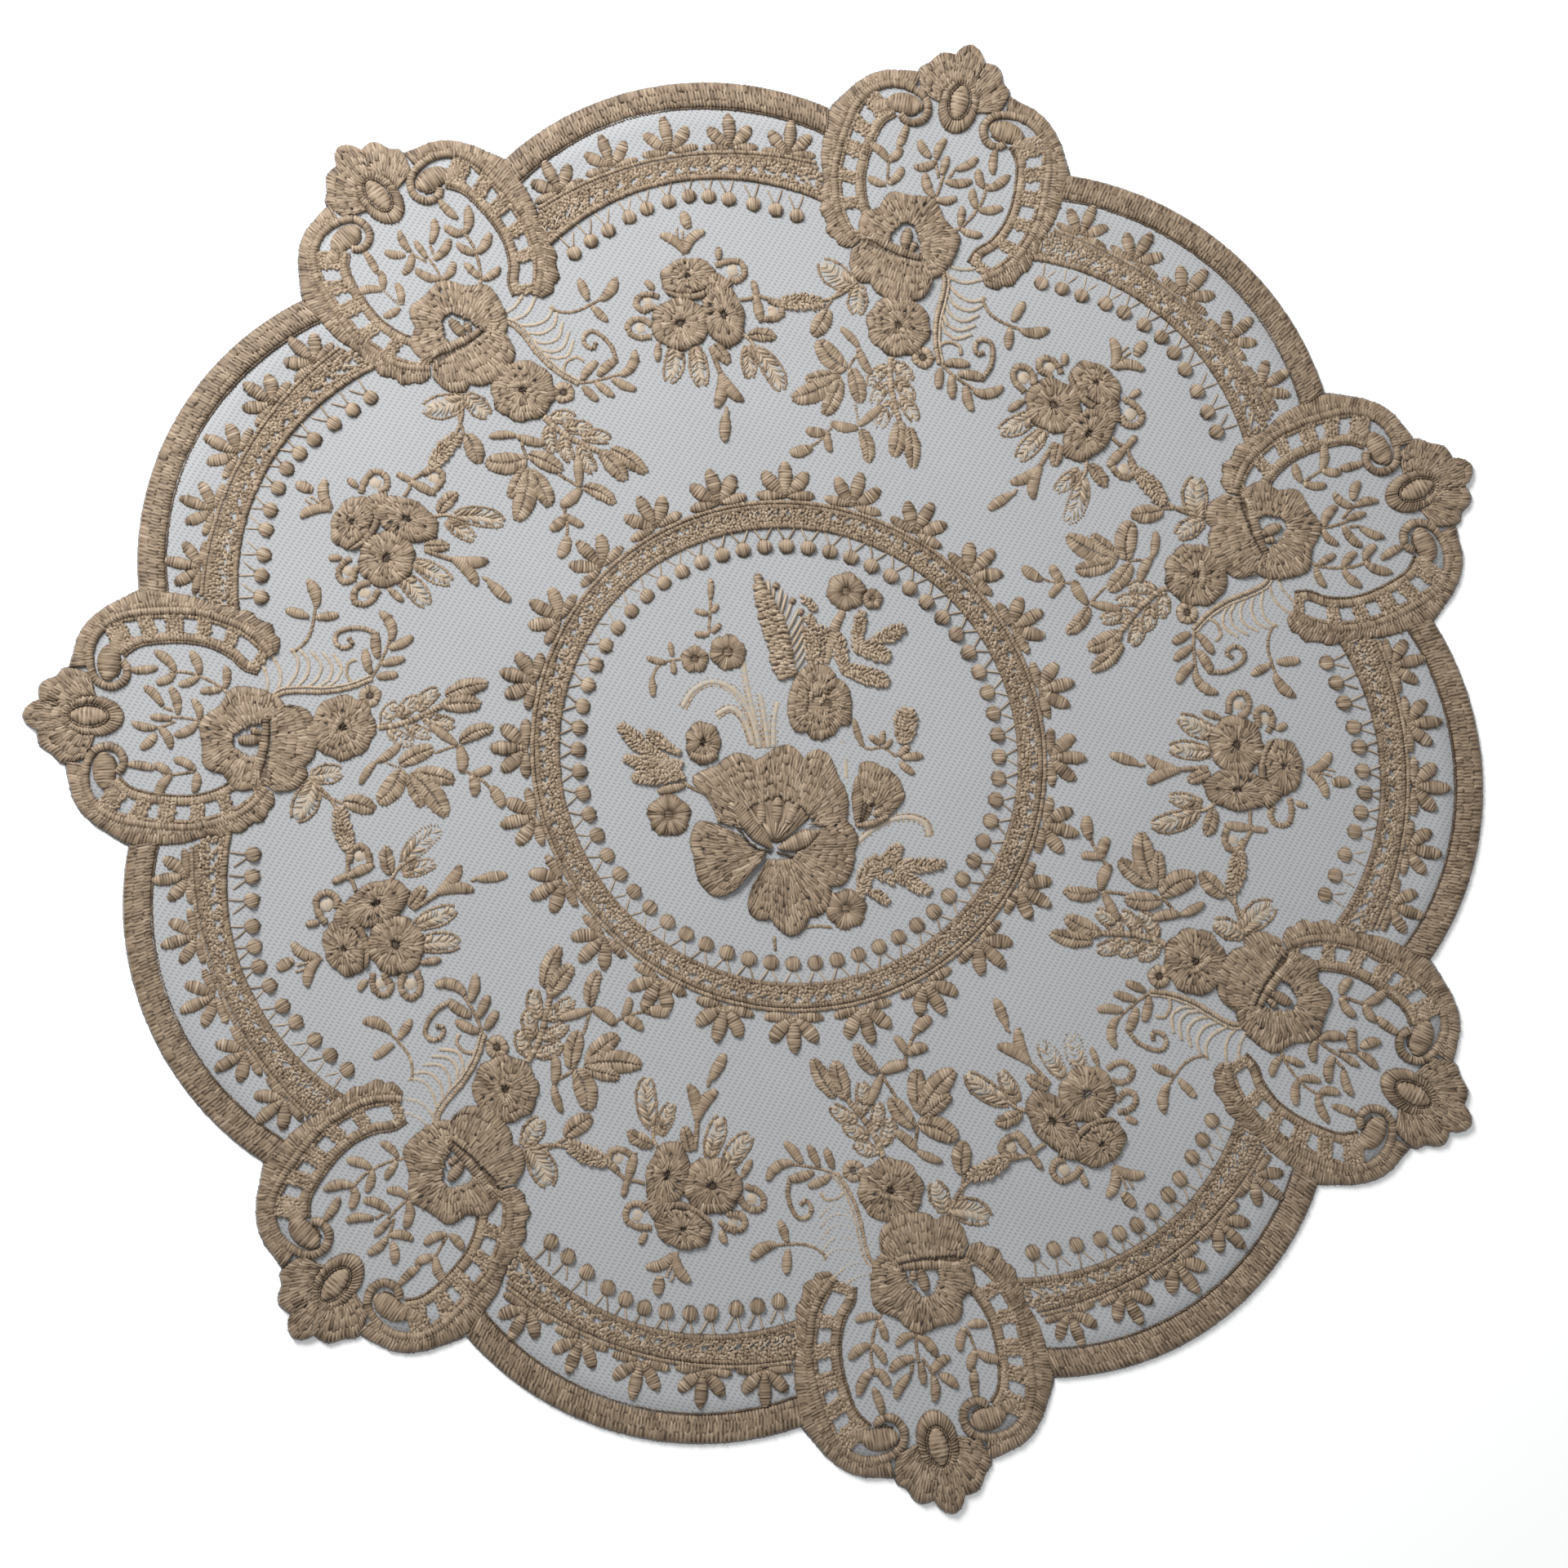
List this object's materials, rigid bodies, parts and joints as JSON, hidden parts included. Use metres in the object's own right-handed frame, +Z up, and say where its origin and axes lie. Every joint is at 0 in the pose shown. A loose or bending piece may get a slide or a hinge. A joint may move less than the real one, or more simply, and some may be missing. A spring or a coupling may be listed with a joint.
{
  "type": "lace placemat",
  "caption": "Flat round scalloped placemat of fine net embroidered with a satin border, corner medallions, palmettes, roses and a flower bouquet in the middle.",
  "frame": {"origin": "middle of the mat on its underside", "axes": "+Z up from the table through the mat, +X to the right and +Y away from the person seated at it"},
  "size_m": [0.3734, 0.379, 0.0023],
  "materials": {
    "thread": "taupe satin-stitch embroidery thread with a soft sheen",
    "net": "fine white tulle net, sheer and matt"
  },
  "bodies": {
    "root": {"lace_mat": "thread"}
  },
  "joints": []
}
